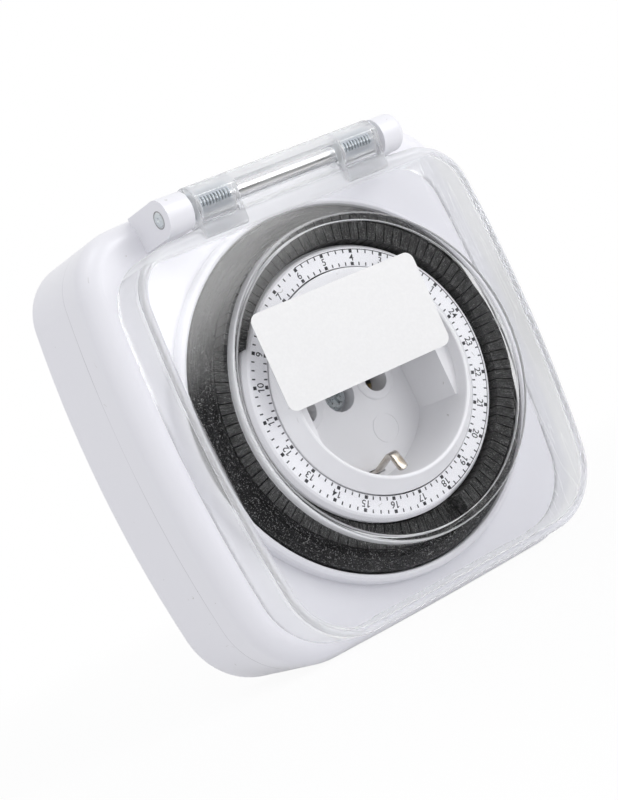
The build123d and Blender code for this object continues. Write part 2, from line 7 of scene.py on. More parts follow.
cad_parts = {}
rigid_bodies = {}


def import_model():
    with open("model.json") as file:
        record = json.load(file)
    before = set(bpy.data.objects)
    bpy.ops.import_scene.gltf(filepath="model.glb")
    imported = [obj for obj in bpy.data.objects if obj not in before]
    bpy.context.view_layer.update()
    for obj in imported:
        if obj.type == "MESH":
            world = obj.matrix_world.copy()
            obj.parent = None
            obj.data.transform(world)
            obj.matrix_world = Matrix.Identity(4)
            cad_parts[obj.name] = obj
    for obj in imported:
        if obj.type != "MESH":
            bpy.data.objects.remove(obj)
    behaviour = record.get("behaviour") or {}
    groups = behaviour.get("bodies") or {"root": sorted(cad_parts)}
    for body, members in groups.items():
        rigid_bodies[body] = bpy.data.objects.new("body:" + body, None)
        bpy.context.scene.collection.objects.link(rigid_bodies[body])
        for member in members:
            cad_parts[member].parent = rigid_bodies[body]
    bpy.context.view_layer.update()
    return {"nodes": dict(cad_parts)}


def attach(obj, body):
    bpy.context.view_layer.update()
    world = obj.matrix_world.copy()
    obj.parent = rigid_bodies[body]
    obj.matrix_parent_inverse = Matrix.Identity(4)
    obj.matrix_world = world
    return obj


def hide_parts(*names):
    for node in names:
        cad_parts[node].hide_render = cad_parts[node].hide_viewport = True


for old in list(bpy.data.objects):
    bpy.data.objects.remove(old)
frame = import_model()
nodes = frame["nodes"]
scene = bpy.context.scene
scene.view_settings.view_transform = "Standard"
print("frame loaded:", len(nodes), "nodes")

mm = 0.001


# object helpers
def addObject(name, data):
    piece = bpy.data.objects.new(name, data)
    scene.collection.objects.link(piece)
    return piece


def newMesh(name, shape, material=None):
    mesh = bpy.data.meshes.new(name)
    shape.to_mesh(mesh)
    shape.free()
    if material:
        mesh.materials.append(material)
    return mesh


def finalMesh(piece):
    # the mesh as curves and modifiers leave it
    bpy.context.view_layer.update()
    return bpy.data.meshes.new_from_object(piece.evaluated_get(bpy.context.evaluated_depsgraph_get()))


# camera
camera = {
    "place": (-0.2123, -0.3774, 0.0013),
    "right": (0.7746, -0.4705, -0.4227),
    "up": (0.3606, -0.2205, 0.9063),
    "forward": (0.5196, 0.8544, 0.0011),
    "lens": 86.31,
}


def addCamera(settings):
    data = bpy.data.cameras.new("camera")
    data.lens = settings["lens"]
    data.sensor_width = 36.0
    data.clip_start = 0.01
    data.clip_end = 20.0
    eye = addObject("camera", data)
    right, up, forward = (Vector(settings[k]) for k in ("right", "up", "forward"))
    turn = Matrix((right, up, -forward)).transposed().to_4x4()
    eye.matrix_world = Matrix.Translation(settings["place"]) @ turn
    scene.camera = eye


addCamera(camera)
print("camera set")


# node helpers
def put(tree, kind, **settings):
    node = tree.nodes.new(kind)
    for name, value in settings.items():
        setattr(node, name, value)
    return node


def feed(tree, node, **values):
    # sockets by name with spaces written as _, a socket is linked and a number is set
    for name, value in values.items():
        socket = node.inputs[int(name[1:])] if name[1:].isdigit() else node.inputs[name.replace("_", " ")]
        if isinstance(value, bpy.types.NodeSocket):
            tree.links.new(value, socket)
        else:
            socket.default_value = value
    return node


def calc(tree, operation, a, b=0.0):
    return feed(tree, put(tree, "ShaderNodeMath", operation=operation), _0=a, _1=b).outputs[0]


def ramp(tree, value, low, high, outLow=0.0, outHigh=1.0, smooth=True):
    node = put(tree, "ShaderNodeMapRange", interpolation_type="SMOOTHSTEP" if smooth else "LINEAR")
    feed(tree, node, Value=value, From_Min=low, From_Max=high, To_Min=outLow, To_Max=outHigh)
    return node.outputs[0]


def mixColor(tree, factor, first, second):
    node = put(tree, "ShaderNodeMix", data_type="RGBA")
    return feed(tree, node, _0=factor, _6=first, _7=second).outputs[2]


def coords(tree, kind="Object"):
    return put(tree, "ShaderNodeTexCoord").outputs[kind]


def apart(tree, whole):
    # X, Y and Z of a vector
    return feed(tree, put(tree, "ShaderNodeSeparateXYZ"), Vector=whole).outputs


def vector(tree, **parts):
    return feed(tree, put(tree, "ShaderNodeCombineXYZ"), **parts).outputs[0]


def length(tree, whole):
    node = put(tree, "ShaderNodeVectorMath", operation="LENGTH")
    return feed(tree, node, _0=whole).outputs["Value"]


def noise(tree, spot, scale, detail=2.0, roughness=0.5):
    node = put(tree, "ShaderNodeTexNoise")
    return feed(tree, node, Vector=spot, Scale=scale, Detail=detail, Roughness=roughness).outputs[0]


def times(tree, a, b):
    return calc(tree, "MULTIPLY", a, b)


def most(tree, a, b):
    return calc(tree, "MAXIMUM", a, b)


def above(tree, a, b):
    return calc(tree, "GREATER_THAN", a, b)


def mixShader(tree, factor, first, second):
    node = put(tree, "ShaderNodeMixShader")
    return feed(tree, node, _0=factor, _1=first, _2=second).outputs[0]


# studio
studio = {
    "floorZ": -0.0473,
    "floorRadius": 0.55,
    "floorColor": (0.86, 0.86, 0.87),
    "shadowShare": 0.06,
    "shadowReach": (0.12, 0.3),  # the floor's shadow fades between these
    "ambient": (0.69, 0.69, 0.71),
    "backdrop": 1.0,  # white behind the object
    "around": 0.86,  # sides of the light tent
    "room": 0.05,  # dark room in front
    "roomThrough": 0.62,  # the same seen along crooked ways through clear parts
    "bends": 6.5,  # a way through more clear faces than this is crooked
    "mirrors": 1.5,  # and so is one mirrored more often than this
    "panelGlow": 4.2,  # soft panel in front, high
    "panelTilt": (-0.55, 0.0, 1.0),  # its lower edge leans
    "panelEdge": (-0.236, -0.192),
    "panelSide": (0.22, 0.36),  # it stands to the right
    "roomEnd": (-0.76, -0.50),  # the room gives way to the tent here, along Y
    "tentEnd": (-0.1, 0.3),  # and the tent to the backdrop
}


def buildWorld(settings):
    world = bpy.data.worlds.new("studio")
    world.use_nodes = True
    scene.world = world
    tree = world.node_tree
    tree.nodes.clear()
    path = put(tree, "ShaderNodeLightPath").outputs
    way = coords(tree, "Generated")
    split = apart(tree, way)
    lean = put(tree, "ShaderNodeVectorMath", operation="DOT_PRODUCT")
    feed(tree, lean, _0=way, _1=settings["panelTilt"])
    depth = path["Transmission Depth"]
    mirrored = times(tree, above(tree, path["Glossy Depth"], settings["mirrors"]), above(tree, depth, 0.5))
    crooked = most(tree, above(tree, depth, settings["bends"]), mirrored)
    room = ramp(tree, crooked, 0.0, 1.0, settings["room"], settings["roomThrough"])
    high = ramp(tree, lean.outputs["Value"], *settings["panelEdge"])
    placed = times(tree, high, ramp(tree, split["X"], *settings["panelSide"]))
    panel = ramp(tree, placed, 0.0, 1.0, room, settings["panelGlow"], smooth=False)
    aside = ramp(tree, split["Y"], *settings["roomEnd"])
    sides = ramp(tree, split["Y"], *settings["tentEnd"], settings["around"], settings["backdrop"])
    mix = put(tree, "ShaderNodeMix", data_type="FLOAT")
    feed(tree, mix, _0=aside, _2=panel, _3=sides)

    def glow(color, strength):
        node = put(tree, "ShaderNodeBackground")
        return feed(tree, node, Color=(*color, 1), Strength=strength).outputs[0]
    white = (1, 1, 1)
    gloss = most(tree, path["Is Glossy Ray"], path["Is Transmission Ray"])
    light = mixShader(tree, gloss, glow(settings["ambient"], 1.0), glow(white, mix.outputs[0]))
    whole = mixShader(tree, path["Is Camera Ray"], light, glow(white, settings["backdrop"]))
    feed(tree, put(tree, "ShaderNodeOutputWorld"), Surface=whole)


def buildFloor(settings):
    shape = bmesh.new()
    bmesh.ops.create_circle(shape, cap_ends=True, segments=96, radius=settings["floorRadius"])
    material = bpy.data.materials.new("floorWhite")
    floor = addObject("floor", newMesh("floor", shape, material))
    floor.location.z = settings["floorZ"]
    material.use_nodes = True
    tree = material.node_tree
    tree.nodes.clear()
    path = put(tree, "ShaderNodeLightPath").outputs
    fade = ramp(tree, length(tree, coords(tree)), *settings["shadowReach"], settings["shadowShare"], 0.0)
    diffuse = put(tree, "ShaderNodeBsdfDiffuse")
    feed(tree, diffuse, Color=(*settings["floorColor"], 1))
    white = put(tree, "ShaderNodeEmission")
    feed(tree, white, Color=(1, 1, 1, 1), Strength=1.0)
    looked = most(tree, path["Is Camera Ray"], path["Is Transmission Ray"])
    share = times(tree, looked, calc(tree, "SUBTRACT", 1.0, fade))
    seen = mixShader(tree, share, diffuse.outputs[0], white.outputs[0])
    clear = put(tree, "ShaderNodeBsdfTransparent")
    # a mirrored way goes through the floor
    whole = mixShader(tree, above(tree, path["Glossy Depth"], 0.5), seen, clear.outputs[0])
    feed(tree, put(tree, "ShaderNodeOutputMaterial"), Surface=whole)
    floor.visible_glossy = False  # gloss shows the tent and the dark room instead


lamps = {
    "keyPanel": {"at": (0.30, -0.55, 0.42), "size": 0.36, "power": 0.95, "color": (1.0, 0.995, 0.98)},
    "topPanel": {"at": (-0.18, -0.30, 0.62), "size": 0.30, "power": 0.55, "color": (0.98, 0.99, 1.0)},
    "leftFill": {"at": (-0.70, 0.05, 0.24), "size": 0.50, "power": 0.2, "color": (0.97, 0.97, 1.0)},
    "frontFill": {"at": (0.30, -0.86, 0.03), "size": 0.46, "power": 1.6, "color": (0.99, 0.99, 1.0), "gloss": False},
}


def addLamps(settings):
    for name, part in settings.items():
        data = bpy.data.lights.new(name, "AREA")
        data.shape = "DISK"
        data.size = part["size"]
        data.energy = part["power"]
        data.color = part["color"]
        lamp = addObject(name, data)
        lamp.visible_glossy = part.get("gloss", True)
        lamp.visible_transmission = False
        place = Vector(part["at"])
        lamp.matrix_world = Matrix.Translation(place) @ (-place).to_track_quat("-Z", "Y").to_matrix().to_4x4()


buildWorld(studio)
buildFloor(studio)
addLamps(lamps)
print("studio built")


# shared effects
def newGroup(name, inputs, outputs):
    group = bpy.data.node_groups.new(name, "ShaderNodeTree")
    for socket, value in inputs.items():
        made = group.interface.new_socket(socket, in_out="INPUT", socket_type="NodeSocketFloat")
        made.default_value = value
    for socket in outputs:
        group.interface.new_socket(socket, in_out="OUTPUT", socket_type="NodeSocketFloat")
    return group, put(group, "NodeGroupInput").outputs, put(group, "NodeGroupOutput")


def moulded():
    # fine skin of a moulded part: a height, and a slow drift of tone
    group, given, out = newGroup("mouldedSkin", {"Grain": 3000.0, "Drift": 30.0}, ("Height", "Tone"))
    spot = coords(group)
    fine = noise(group, spot, given["Grain"], 3.0, 0.6)
    feed(group, out, Height=fine, Tone=noise(group, spot, given["Drift"]))
    return group


dust = {
    "speckSize": 0.8,
    "threads": 95.0, "threadWidth": 0.006, "curl": 170.0, "curlReach": 0.012,
    "patches": 420.0, "bare": 0.78, "lintShare": 0.5,
}


def dusty(s):
    # specks of dust and short bits of lint
    group, given, out = newGroup("dustLayer", {"Scale": 900.0, "Cover": 0.25, "Lint": 0.2}, ("Specks", "Lint"))
    spot = coords(group)
    cells = put(group, "ShaderNodeTexVoronoi")
    feed(group, cells, Vector=spot, Scale=given["Scale"])
    pick = put(group, "ShaderNodeSeparateColor")
    feed(group, pick, Color=cells.outputs["Color"])
    over = calc(group, "SUBTRACT", pick.outputs[0], calc(group, "SUBTRACT", 1.0, given["Cover"]))
    near = calc(group, "LESS_THAN", cells.outputs["Distance"], times(group, over, s["speckSize"]))
    curl = put(group, "ShaderNodeTexNoise")
    feed(group, curl, Vector=spot, Scale=s["curl"], Detail=1.0)
    warped = put(group, "ShaderNodeVectorMath", operation="MULTIPLY_ADD")
    feed(group, warped, _0=curl.outputs["Color"], _1=[s["curlReach"]] * 3, _2=spot)
    threads = put(group, "ShaderNodeTexVoronoi", feature="DISTANCE_TO_EDGE")
    feed(group, threads, Vector=warped.outputs[0], Scale=s["threads"])
    thin = calc(group, "LESS_THAN", threads.outputs["Distance"], s["threadWidth"])
    bare = calc(group, "SUBTRACT", s["bare"], times(group, given["Lint"], s["lintShare"]))
    kept = above(group, noise(group, spot, s["patches"], 0.0), bare)
    feed(group, out, Specks=near, Lint=times(group, thin, kept))
    return group


scratches = {"turns": (0.35, 1.3, 2.5), "squeeze": 0.05, "fineness": 9.0, "width": 0.0045, "bare": 0.75, "share": 0.4}


def scratched(s):
    # hairline scratches in three directions
    group, given, out = newGroup("hairScratches", {"Scale": 60.0, "Cover": 0.35}, ("Mask",))
    spot = coords(group)
    total = 0.0
    for turn in s["turns"]:
        place = put(group, "ShaderNodeMapping")
        feed(group, place, Vector=spot, Rotation=(0.0, turn, 0.0), Scale=(1.0, 1.0, s["squeeze"]))
        line = noise(group, place.outputs[0], times(group, given["Scale"], s["fineness"]), 1.0)
        off = calc(group, "ABSOLUTE", calc(group, "SUBTRACT", line, 0.5))
        hair = calc(group, "LESS_THAN", off, s["width"])
        patch = noise(group, place.outputs[0], given["Scale"], 1.0)
        kept = above(group, patch, calc(group, "SUBTRACT", s["bare"], times(group, given["Cover"], s["share"])))
        total = most(group, total, times(group, hair, kept))
    feed(group, out, Mask=total)
    return group


mouldedSkin = moulded()
dustLayer = dusty(dust)
hairScratches = scratched(scratches)
print("effects built")


# materials
def newMaterial(name, color, roughness, metallic=0.0, **more):
    material = bpy.data.materials.new(name)
    material.use_nodes = True
    tree = material.node_tree
    surface = tree.nodes["Principled BSDF"]
    feed(tree, surface, Base_Color=(*color, 1), Roughness=roughness, Metallic=metallic, **more)
    return material, tree, surface


def effect(tree, group, **values):
    node = put(tree, "ShaderNodeGroup")
    node.node_tree = group
    return feed(tree, node, **values).outputs


def bump(tree, height, strength, distance):
    # distance in millimetres
    node = put(tree, "ShaderNodeBump")
    feed(tree, node, Height=height, Strength=strength, Distance=distance * mm)
    return node.outputs[0]


def tinted(color, share):
    return (*(min(1, c * share) for c in color), 1)


seamLine = {"edge": (0.05, 0.13), "tone": (0.35, 0.65), "share": (0.25, 0.75), "color": (0.30, 0.30, 0.32)}


def plastic(name, color, roughness, grain=3500.0, depth=0.02, drift=0.03, dust=0.0,
            dustColor=(0.6, 0.6, 0.58), seam=None):
    material, tree, surface = newMaterial(name, color, roughness, IOR=1.5)
    skin = effect(tree, mouldedSkin, Grain=grain, Drift=28.0)
    shade = mixColor(tree, skin["Tone"], tinted(color, 1 - drift), tinted(color, 1 + drift))
    rough = ramp(tree, skin["Tone"], 0.3, 0.7, roughness - 0.04, roughness + 0.05)
    if dust:
        layer = effect(tree, dustLayer, Scale=700.0, Cover=dust, Lint=dust)
        mask = most(tree, times(tree, layer["Specks"], 0.6), layer["Lint"])
        shade = mixColor(tree, mask, shade, (*dustColor, 1))
        rough = most(tree, rough, times(tree, mask, 0.8))
    if seam is not None:
        # fine line where two shells meet, fading along its way
        off = calc(tree, "ABSOLUTE", calc(tree, "SUBTRACT", apart(tree, coords(tree))["Y"], seam * mm))
        line = ramp(tree, off, *(edge * mm for edge in seamLine["edge"]), 1.0, 0.0)
        line = times(tree, line, ramp(tree, skin["Tone"], *seamLine["tone"], *seamLine["share"]))
        shade = mixColor(tree, line, shade, (*seamLine["color"], 1))
    feed(tree, surface, Base_Color=shade, Roughness=rough, Normal=bump(tree, skin["Height"], 1.0, depth))
    return material


def metal(name, color, roughness, along="X", depth=0.01, scale=2500.0, stain=0.0, stainColor=(0.3, 0.22, 0.15)):
    # drawn or plated metal with fine lines along one axis
    material, tree, surface = newMaterial(name, color, roughness, 1.0)
    spot = coords(tree)
    place = put(tree, "ShaderNodeMapping")
    feed(tree, place, Vector=spot, Scale=[0.03 if axis == along else 1 for axis in "XYZ"])
    lines = noise(tree, place.outputs[0], scale, 3.0)
    cloud = noise(tree, spot, 260.0, 4.0)
    rough = ramp(tree, lines, 0.3, 0.7, roughness * 0.75, roughness * 1.35)
    shade = mixColor(tree, ramp(tree, cloud, 0.5, 0.72, 0.0, stain), (*color, 1), (*stainColor, 1))
    feed(tree, surface, Base_Color=shade, Roughness=rough, Normal=bump(tree, lines, 0.6, depth))
    return material


clearFinish = {
    "color": (0.985, 0.988, 0.99), "roughness": 0.015, "uneven": 0.03, "scratched": 0.25, "ripple": 0.05,
    "window": (0.93, 0.99),  # faces that look this straight forward are the clear window
    "edge": (0.15, 0.3),  # and those past these are its rounded edge
    "tabsFrom": (0.0370, 0.0385), "tabs": 0.46,  # from this height up the moulding is milky
    "knucklesFrom": (0.0405, 0.0420), "knuckleShare": 0.2,
    "wallsFrom": (-0.0553, -0.0540), "walls": 0.32,
    "bossTo": (-0.0570, -0.0568), "bends": 0.36,
    "hingeTint": (0.93, 0.94, 0.955), "wallTint": (0.87, 0.875, 0.89), "lampTint": (0.99, 0.99, 0.993),
}


def clearPlastic(name, s):
    # clear moulding, plain to lamp rays so that it throws a light shadow
    material, tree, surface = newMaterial(name, s["color"], s["roughness"], IOR=1.49, Transmission_Weight=1.0)
    skin = effect(tree, mouldedSkin, Grain=140.0, Drift=60.0)
    lines = effect(tree, hairScratches, Scale=42.0, Cover=0.30)
    front = calc(tree, "ABSOLUTE", apart(tree, coords(tree, "Normal"))["Y"])
    window = ramp(tree, front, *s["window"])
    rough = ramp(tree, skin["Tone"], 0.35, 0.75, s["roughness"], s["roughness"] + s["uneven"])
    rough = most(tree, rough, times(tree, times(tree, lines[0], window), s["scratched"]))
    feed(tree, surface, Roughness=rough, Normal=bump(tree, skin["Height"], s["ripple"], 0.02))
    # walls, edges and hinge are thicker and a little milky
    spot = apart(tree, coords(tree))
    tabs = ramp(tree, spot["Z"], *s["tabsFrom"], 0.0, s["tabs"])
    hinge = times(tree, tabs, ramp(tree, spot["Z"], *s["knucklesFrom"], 1.0, s["knuckleShare"]))
    walls = ramp(tree, spot["Y"], *s["wallsFrom"], 0.0, s["walls"])
    bossWall = times(tree, ramp(tree, front, *s["edge"], 1.0, 0.0), ramp(tree, spot["Y"], *s["bossTo"], 1.0, 0.0))
    bend = times(tree, ramp(tree, front, *s["edge"]), calc(tree, "SUBTRACT", 1.0, window))
    bends = times(tree, most(tree, bend, bossWall), s["bends"])
    pale = most(tree, ramp(tree, spot["Z"], *s["tabsFrom"]), above(tree, bends, 0.01))
    tint = mixColor(tree, pale, (*s["wallTint"], 1), (*s["hingeTint"], 1))
    scatter = feed(tree, put(tree, "ShaderNodeBsdfTranslucent"), Color=tint)
    chalk = feed(tree, put(tree, "ShaderNodeBsdfDiffuse"), Color=tint)
    cloud = mixShader(tree, 0.5, scatter.outputs[0], chalk.outputs[0])
    milk = most(tree, bends, most(tree, hinge, walls))
    body = mixShader(tree, milk, surface.outputs[0], cloud)
    clear = feed(tree, put(tree, "ShaderNodeBsdfTransparent"), Color=(*s["lampTint"], 1))
    path = put(tree, "ShaderNodeLightPath").outputs
    plain = most(tree, path["Is Shadow Ray"], path["Is Diffuse Ray"])
    feed(tree, tree.nodes["Material Output"], Surface=mixShader(tree, plain, body, clear.outputs[0]))
    return material


def aroundAxis(tree):
    # distance from the dial's axis, angle round it, and depth
    split = apart(tree, coords(tree))
    reach = length(tree, vector(tree, X=split["X"], Y=split["Z"]))
    return reach, calc(tree, "ARCTAN2", split["Z"], split["X"]), split["Y"]


ringFinish = {
    "color": (0.007, 0.007, 0.008), "roughness": 0.055, "gloss": 0.34,
    "steps": 4200.0, "arcs": (5200.0, 2.2), "arcDepth": 2.5, "depth": 0.03,
    "streak": (0.52, 0.72), "streakColor": (0.13, 0.13, 0.135), "streakShare": 0.2, "streakRough": 0.04,
    "grain": 3600.0, "grainEdge": (0.57, 0.66), "grainShare": 0.62,
    "specks": 0.5, "lint": 0.8, "dustColor": (0.36, 0.36, 0.35), "dustRough": 0.8,
}


def turnedBlack(name, s):
    # glossy black moulding with fine turned steps and settled dust
    material, tree, surface = newMaterial(name, s["color"], s["roughness"], IOR=1.5, Specular_IOR_Level=s["gloss"])
    reach, angle, _ = aroundAxis(tree)
    turned = noise(tree, vector(tree, X=times(tree, reach, s["steps"])), 1.0)
    across, along = s["arcs"]
    swirl = noise(tree, vector(tree, X=times(tree, reach, across), Y=times(tree, angle, along)), 1.0, 3.0, 0.6)
    streak = ramp(tree, swirl, *s["streak"])
    skin = effect(tree, mouldedSkin, Grain=s["grain"], Drift=70.0)
    layer = effect(tree, dustLayer, Scale=900.0, Cover=0.14, Lint=0.2)
    fine = ramp(tree, skin["Height"], *s["grainEdge"])
    mask = most(tree, times(tree, layer["Specks"], s["specks"]), times(tree, layer["Lint"], s["lint"]))
    mask = most(tree, mask, times(tree, fine, s["grainShare"]))
    shade = mixColor(tree, times(tree, streak, s["streakShare"]), (*s["color"], 1), (*s["streakColor"], 1))
    shade = mixColor(tree, mask, shade, (*s["dustColor"], 1))
    rough = ramp(tree, skin["Tone"], 0.3, 0.7, s["roughness"], s["roughness"] + 0.05)
    rough = calc(tree, "ADD", rough, times(tree, streak, s["streakRough"]))
    rough = most(tree, rough, times(tree, mask, s["dustRough"]))
    height = calc(tree, "ADD", turned, times(tree, swirl, s["arcDepth"]))
    feed(tree, surface, Base_Color=shade, Roughness=rough, Normal=bump(tree, height, 0.6, s["depth"]))
    return material


tappetFinish = {
    "color": (0.022, 0.022, 0.022), "roughness": 0.45, "gloss": 0.22,
    "fibres": (520.0, 150.0, 700.0),  # outwards, round and deep
    "scuff": (0.46, 0.72), "darkest": 0.7, "palest": 5.0, "depth": 0.06,
    "grain": 3600.0, "grainEdge": (0.57, 0.66), "grainShare": 0.45,
    "specks": 0.42, "dustColor": (0.42, 0.42, 0.40),
}


def tappetPlastic(name, s):
    # dull black plastic, scuffed along the radius and dusty
    material, tree, surface = newMaterial(name, s["color"], s["roughness"], IOR=1.5, Specular_IOR_Level=s["gloss"])
    out, turn, deep = (times(tree, part, scale) for part, scale in zip(aroundAxis(tree), s["fibres"]))
    fibres = noise(tree, vector(tree, X=turn, Y=out, Z=deep), 1.0, 4.0, 0.65)
    skin = effect(tree, mouldedSkin, Grain=s["grain"], Drift=70.0)
    layer = effect(tree, dustLayer, Scale=1100.0, Cover=0.2, Lint=0.12)
    fine = ramp(tree, skin["Height"], *s["grainEdge"])
    scuff = ramp(tree, fibres, *s["scuff"])
    shade = mixColor(tree, scuff, tinted(s["color"], s["darkest"]), tinted(s["color"], s["palest"]))
    mask = most(tree, times(tree, fine, s["grainShare"]), times(tree, layer["Specks"], s["specks"]))
    shade = mixColor(tree, mask, shade, (*s["dustColor"], 1))
    rough = ramp(tree, fibres, 0.3, 0.7, s["roughness"] - 0.08, s["roughness"] + 0.12)
    feed(tree, surface, Base_Color=shade, Roughness=rough, Normal=bump(tree, fibres, 0.8, s["depth"]))
    return material


def paper(name, color, roughness):
    material, tree, surface = newMaterial(name, color, roughness, IOR=1.45)
    spot = coords(tree)
    fibres = noise(tree, spot, 1500.0, 5.0, 0.7)
    waves = noise(tree, spot, 90.0, 1.0)
    layer = effect(tree, dustLayer, Scale=600.0, Cover=0.03, Lint=0.02)
    shade = mixColor(tree, ramp(tree, fibres, 0.35, 0.7), tinted(color, 0.965), (*color, 1))
    shade = mixColor(tree, times(tree, layer["Specks"], 0.35), shade, (0.45, 0.43, 0.40, 1))
    height = calc(tree, "ADD", times(tree, fibres, 0.08), waves)
    feed(tree, surface, Base_Color=shade, Normal=bump(tree, height, 0.5, 0.12))
    return material


shellSkin = {"grain": 2600.0, "depth": 0.006, "drift": 0.012}
finishes = {
    "white_plastic": plastic(
        "whitePlastic", (0.83, 0.83, 0.865), 0.34, **shellSkin, dust=0.004, dustColor=(0.60, 0.59, 0.58), seam=-35.2),
    "dial_white": plastic("dialWhite", (0.95, 0.95, 0.975), 0.45, grain=3200.0, depth=0.004, drift=0.01, dust=0.03),
    "black_gloss": turnedBlack("turnedBlack", ringFinish),
    "tappet_black": tappetPlastic("tappetBlack", tappetFinish),
    "grey_plastic": plastic("greyPlastic", (0.30, 0.30, 0.31), 0.45),
    "clear_lid": clearPlastic("clearLid", clearFinish),
    "label_paper": paper("labelPaper", (0.83, 0.83, 0.825), 0.42),
    "rod_steel": metal("rodSteel", (0.86, 0.86, 0.87), 0.30, along="X"),
    "spring_steel": metal("springSteel", (0.68, 0.74, 0.79), 0.22, along="", depth=0.004),
    "nickel": metal("nickel", (0.70, 0.67, 0.63), 0.16, along="Y"),
    "brass": metal("brass", (0.74, 0.63, 0.42), 0.26, along="Y"),
    "clip_nickel": metal(
        "clipNickel", (0.60, 0.56, 0.51), 0.16, along="Y", stain=0.7, stainColor=(0.34, 0.26, 0.18)),
    "zinc": metal(
        "zinc", (0.60, 0.64, 0.66), 0.30, along="", depth=0.008, stain=0.4, stainColor=(0.36, 0.40, 0.40)),
    "motor_can": metal("motorCan", (0.62, 0.62, 0.60), 0.30, along="Y"),
    "gear_plastic": plastic("gearPlastic", (0.80, 0.80, 0.76), 0.40),
    "switch_plastic": plastic("switchPlastic", (0.035, 0.04, 0.05), 0.40),
}
# paler copy of the shells' white for the well: painted light that lifts the shade in the deep recess
wellPaintedLight = plastic("wellPaintedLight", (0.97, 0.97, 0.985), 0.36, **shellSkin, dust=0.01)
for node in nodes.values():
    for place in node.material_slots:
        place.material = finishes[place.material.name.split(".")[0]]
for name in ("socket_well", "well_floor"):
    for place in nodes[name].material_slots:
        if place.material == finishes["white_plastic"]:
            place.material = wellPaintedLight
print("materials set:", len(finishes))


# mesh helpers
def keepMesh(name, shape, material, smoothAngle=32.0):
    # turns a bmesh in millimetres into an object in metres
    bmesh.ops.recalc_face_normals(shape, faces=shape.faces)
    bmesh.ops.scale(shape, vec=(mm, mm, mm), verts=shape.verts)
    mesh = newMesh(name, shape, material)
    mesh.shade_smooth()
    mesh.set_sharp_from_angle(angle=math.radians(smoothAngle))
    return addObject(name, mesh)


def settled(piece):
    # keeps the mesh as its modifiers leave it
    made = finalMesh(piece)
    piece.modifiers.clear()
    piece.data = made
    made.name = piece.name


def carve(piece, tool, operation):
    modifier = piece.modifiers.new("carve", "BOOLEAN")
    modifier.solver = "EXACT"
    modifier.operation = operation
    modifier.object = tool
    settled(piece)
    bpy.data.objects.remove(tool)


def loft(shape, rings, closeEnds=True):
    made = [[shape.verts.new(p) for p in ring] for ring in rings]
    for near, far in zip(made, made[1:]):
        for k in range(len(near)):
            n = (k + 1) % len(near)
            shape.faces.new((near[k], near[n], far[n], far[k]))
    if closeEnds:
        shape.faces.new(made[0])
        shape.faces.new(made[-1])


def blockTool(x0, x1, y0, y1, z0, z1):
    shape = bmesh.new()
    loft(shape, [[(x, y0, z0), (x, y1, z0), (x, y1, z1), (x, y0, z1)] for x in (x0, x1)])
    return keepMesh("tool", shape, None)


def barTool(outline, x0, x1, soft=0.0):
    # profile in the YZ plane run along X, its two ends softened
    y0, z0 = (sum(p[axis] for p in outline) / len(outline) for axis in (0, 1))
    reach = max(math.hypot(y - y0, z - z0) for y, z in outline)
    turns = [math.radians(30.0 * k) for k in range(4)] if soft else [0.0]
    ends = [(soft * (1 - math.sin(turn)), soft * (1 - math.cos(turn))) for turn in turns]
    places = [(inset, x0 + along) for inset, along in ends]
    places += [(inset, x1 - along) for inset, along in reversed(ends)]

    def ring(inset, x):
        share = inset / reach
        return [(x, y + (y0 - y) * share, z + (z0 - z) * share) for y, z in outline]
    shape = bmesh.new()
    loft(shape, [ring(inset, x) for inset, x in places])
    return keepMesh("tool", shape, None)


def roundOutline(centre, radius, count=56, first=0.0, turn=360.0):
    steps = count if turn >= 360.0 else count - 1
    angles = [math.radians(first + turn * k / steps) for k in range(count)]
    return [(centre[0] + radius * math.cos(a), centre[1] + radius * math.sin(a)) for a in angles]


# clear lid: a thin moulding with a raised round window, open at the top between its hinge tabs
lidShape = {
    "half": 42.6, "top": 41.6, "low": -44.6, "wide": 9.0,
    "sideBow": 300.0, "topBow": 500.0, "lowBow": 1500.0, "topCorner": 11.0, "lowCorner": 15.5,
    "base": -45.6, "front": -57.1, "wall": 1.5, "edge": 1.5, "innerEdge": 0.5,
    "bossRadius": 33.9, "bossFront": -59.4, "bossEdge": 0.55, "bossWall": 1.4, "bossInnerEdge": 0.25,
    "bossFoot": [(0.3, 0.0), (0.08, -0.1), (0.0, -0.35)],  # outwards and forwards
    "bossInnerFoot": [(0.0, -0.3), (0.25, 0.0)],
    "hinge": (-55.5, 45.3), "knuckle": 4.3, "knuckleEnds": (13.0, 23.2), "rodBore": 1.68, "springBore": 3.3,
    "cheek": 1.1, "tabLow": 38.4, "tabFront": -58.3, "tabSoft": 0.25, "tabTurn": (-62.0, 228.0),
    "tabFoot": [(-0.25, 3.2), (0.0, 0.7), (0.3, 0.2), (0.8, 0.0)],  # from the tab's front and low end
    "tabRoot": 0.9, "tubeWall": 1.1, "tubeTurn": (-78.0, 232.0), "tubeInto": 0.5,
    "panelLow": 36.5, "panelTop": 43.3, "open": (38.6, 43.0), "collar": 40.7, "collarFront": -48.95,
    "slotAt": 21.4, "slotHalf": 2.8, "slotDeep": 1.2, "slotSpan": (-1.4, 2.6), "beyond": 1.0,
}


def crossing(first, firstRadius, second, secondRadius, lower):
    # where two circles meet on the right
    dx, dz = second[0] - first[0], second[1] - first[1]
    gap = math.hypot(dx, dz)
    along = (firstRadius ** 2 - secondRadius ** 2 + gap ** 2) / (2 * gap)
    rise = math.sqrt(max(firstRadius ** 2 - along ** 2, 0.0))
    spots = []
    for side in (-1, 1):
        x = first[0] + (along * dx + side * rise * dz) / gap
        z = first[1] + (along * dz - side * rise * dx) / gap
        if x > 0:
            spots.append((x, z))
    return min(spots, key=lambda p: p[1]) if lower else max(spots, key=lambda p: p[1])


